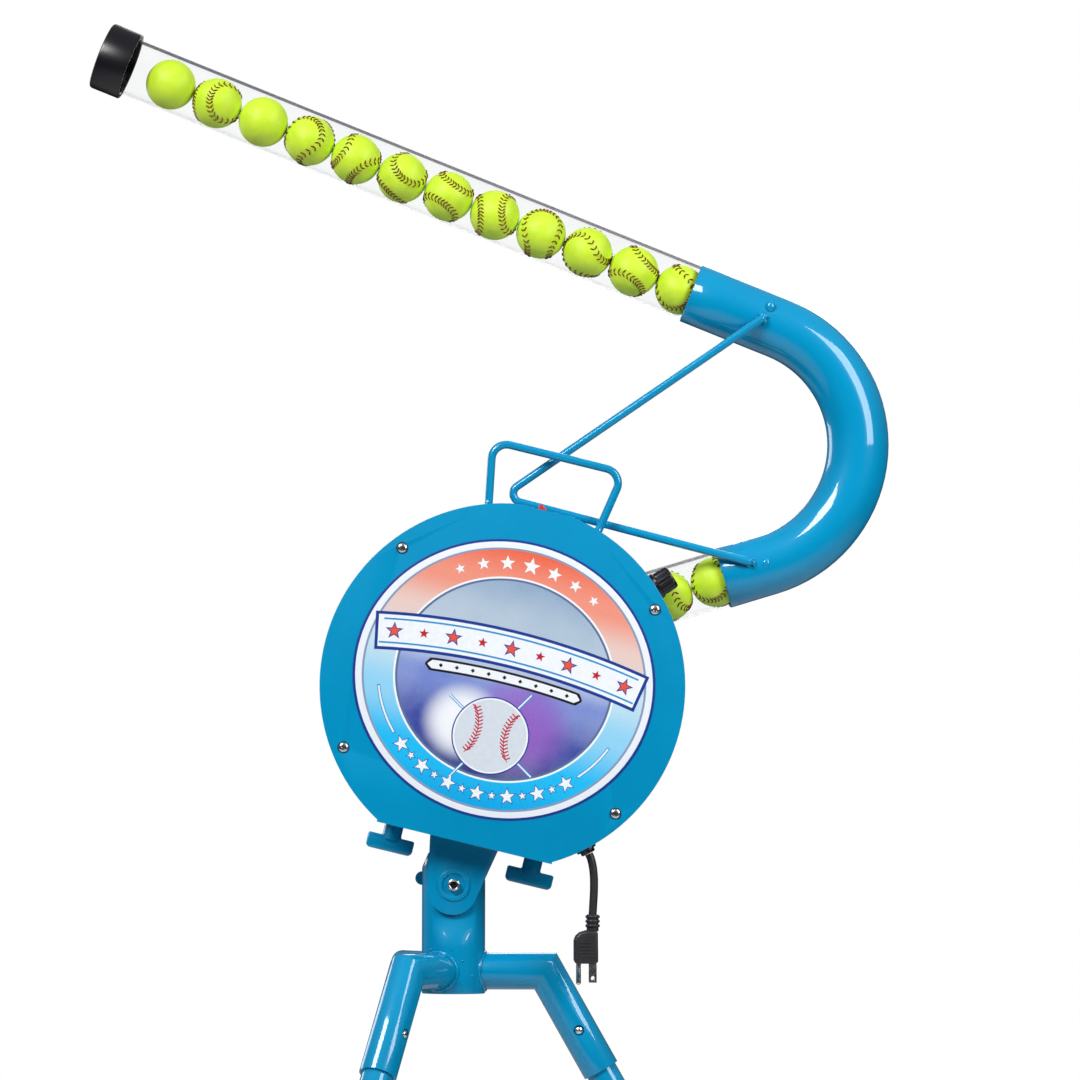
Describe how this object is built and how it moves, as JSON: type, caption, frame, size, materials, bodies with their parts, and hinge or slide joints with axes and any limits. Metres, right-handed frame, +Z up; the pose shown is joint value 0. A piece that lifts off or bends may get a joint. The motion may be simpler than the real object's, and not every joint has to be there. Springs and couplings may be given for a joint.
{
  "type": "baseball pitching machine",
  "caption": "Small-ball pitching machine: a wheel in a round drum throws balls fed down a clear tube and steel elbow, on a tilting head over a tripod.",
  "frame": {"origin": "on the floor under the post's axis, between the three feet", "axes": "+Z up, -X the way the ball is thrown, -Y the side with the labelled cover"},
  "size_m": [0.8197, 0.9084, 1.5253],
  "materials": {
    "blue_paint": "gloss",
    "clear_tube": "clear gloss",
    "ball_lime": "satin",
    "black_plastic": "satin",
    "black_rubber": "matte",
    "zinc_steel": "bright zinc",
    "label_print": "printed gloss",
    "red_plastic": "gloss",
    "wheel_tyre": "matte",
    "wheel_alloy": "cast",
    "motor_black": "satin",
    "rotor_orange": "moulded",
    "board_green": "solder mask",
    "cord_black": "satin"
  },
  "bodies": {
    "tripod": {"post": "blue_paint", "leg_socket_rear": "blue_paint", "leg_socket_left": "blue_paint", "leg_socket_right": "blue_paint", "leg_tube_rear": "blue_paint", "leg_tube_left": "blue_paint", "leg_tube_right": "blue_paint", "foot_rear": "black_rubber", "foot_left": "black_rubber", "foot_right": "black_rubber", "pivot_bolt": "zinc_steel", "pivot_washers": "zinc_steel"},
    "snap_button_rear": {"snap_button_rear": "zinc_steel"},
    "snap_button_left": {"snap_button_left": "zinc_steel"},
    "snap_button_right": {"snap_button_right": "zinc_steel"},
    "tilt_handle": {"tilt_handle": "blue_paint"},
    "yoke": {"tilt_bracket": "blue_paint"},
    "head": {"swivel_bolt": "zinc_steel", "clamp_studs": "zinc_steel", "drum_shell": "blue_paint", "base_plate": "zinc_steel", "front_cover": "blue_paint", "front_label": "label_print", "cover_screws": "zinc_steel", "rear_plate": "blue_paint", "rear_screws": "zinc_steel", "carry_handle": "blue_paint", "brace_rod": "blue_paint", "feed_elbow": "blue_paint", "upper_tube": "clear_tube", "lower_tube": "clear_tube", "queued_balls": "ball_lime", "feed_chute": "zinc_steel", "rotor_motor": "zinc_steel", "ball_guide": "zinc_steel", "guide_pad": "black_rubber", "drive_motor": "motor_black", "motor_bearing": "zinc_steel", "motor_screws": "zinc_steel", "control_board": "board_green", "board_spacers": "zinc_steel", "speed_control": "zinc_steel", "switch_body": "black_plastic", "cord_gland": "black_rubber", "power_cord": "cord_black", "plug_body": "cord_black", "plug_pins": "zinc_steel"},
    "t_knob_front": {"t_knob_front": "blue_paint"},
    "t_knob_rear": {"t_knob_rear": "blue_paint"},
    "throw_wheel": {"wheel_hub": "wheel_alloy", "wheel_tyre": "wheel_tyre", "wheel_shaft": "zinc_steel", "wheel_nut": "zinc_steel"},
    "feed_rotor": {"feed_rotor": "rotor_orange"},
    "speed_knob": {"speed_knob": "black_plastic"},
    "power_rocker": {"power_rocker": "red_plastic"},
    "end_cap": {"end_cap": "black_plastic"},
    "ball_column": {"ball_column": "ball_lime"}
  },
  "joints": [
    {"name": "head_tilt", "type": "hinge", "parent": "tripod", "child": "yoke", "pos_m": [0, 0, 0.829], "axis": [0, 1, 0], "range_deg": [-35, 20]},
    {"name": "head_swivel", "type": "hinge", "parent": "yoke", "child": "head", "pos_m": [0, 0, 0.829], "axis": [-0.2351, 0, -0.972], "range_deg": [-12, 12]},
    {"name": "tilt_handle_turn", "type": "hinge", "parent": "tripod", "child": "tilt_handle", "pos_m": [0, 0.035, 0.829], "axis": [0, 1, 0], "range_deg": [0, 180]},
    {"name": "t_knob_front_turn", "type": "hinge", "parent": "head", "child": "t_knob_front", "pos_m": [-0.05058, 0, 0.8649], "axis": [0.2351, 0, 0.972], "range_deg": [0, 180]},
    {"name": "t_knob_rear_turn", "type": "hinge", "parent": "head", "child": "t_knob_rear", "pos_m": [0.06139, 0, 0.83781], "axis": [0.2351, 0, 0.972], "range_deg": [0, 180]},
    {"name": "wheel_spin", "type": "hinge", "parent": "head", "child": "throw_wheel", "pos_m": [0.00636, 0, 0.94886], "axis": [0, 1, 0], "continuous": true},
    {"name": "rotor_spin", "type": "hinge", "parent": "head", "child": "feed_rotor", "pos_m": [0.09191, 0, 1.01624], "axis": [0, 1, 0], "continuous": true},
    {"name": "speed_knob_turn", "type": "hinge", "parent": "head", "child": "speed_knob", "pos_m": [0.16817, -0.038, 1.07207], "axis": [0.8377, 0, 0.5461], "range_deg": [0, 300]},
    {"name": "power_rocker_tip", "type": "hinge", "parent": "head", "child": "power_rocker", "pos_m": [0.07001, -0.042, 1.12689], "axis": [0, -1, 0], "range_deg": [0, 16]},
    {"name": "end_cap_pull", "type": "slide", "parent": "head", "child": "end_cap", "axis": [-0.9282, 0, 0.3722], "range_m": [0, 0.03]},
    {"name": "ball_column_lift", "type": "slide", "parent": "head", "child": "ball_column", "axis": [-0.9282, 0, 0.3722], "range_m": [0, 0.012]},
    {"name": "snap_button_rear_press", "type": "slide", "parent": "tripod", "child": "snap_button_rear", "axis": [0, 1, 0], "range_m": [0, 0.003], "stiffness_N_per_m": 1200, "springref_m": -0.002},
    {"name": "snap_button_left_press", "type": "slide", "parent": "tripod", "child": "snap_button_left", "axis": [-0.866, 0.5, 0], "range_m": [0, 0.003], "stiffness_N_per_m": 1200, "springref_m": -0.002},
    {"name": "snap_button_right_press", "type": "slide", "parent": "tripod", "child": "snap_button_right", "axis": [0.866, 0.5, 0], "range_m": [0, 0.003], "stiffness_N_per_m": 1200, "springref_m": -0.002}
  ]
}
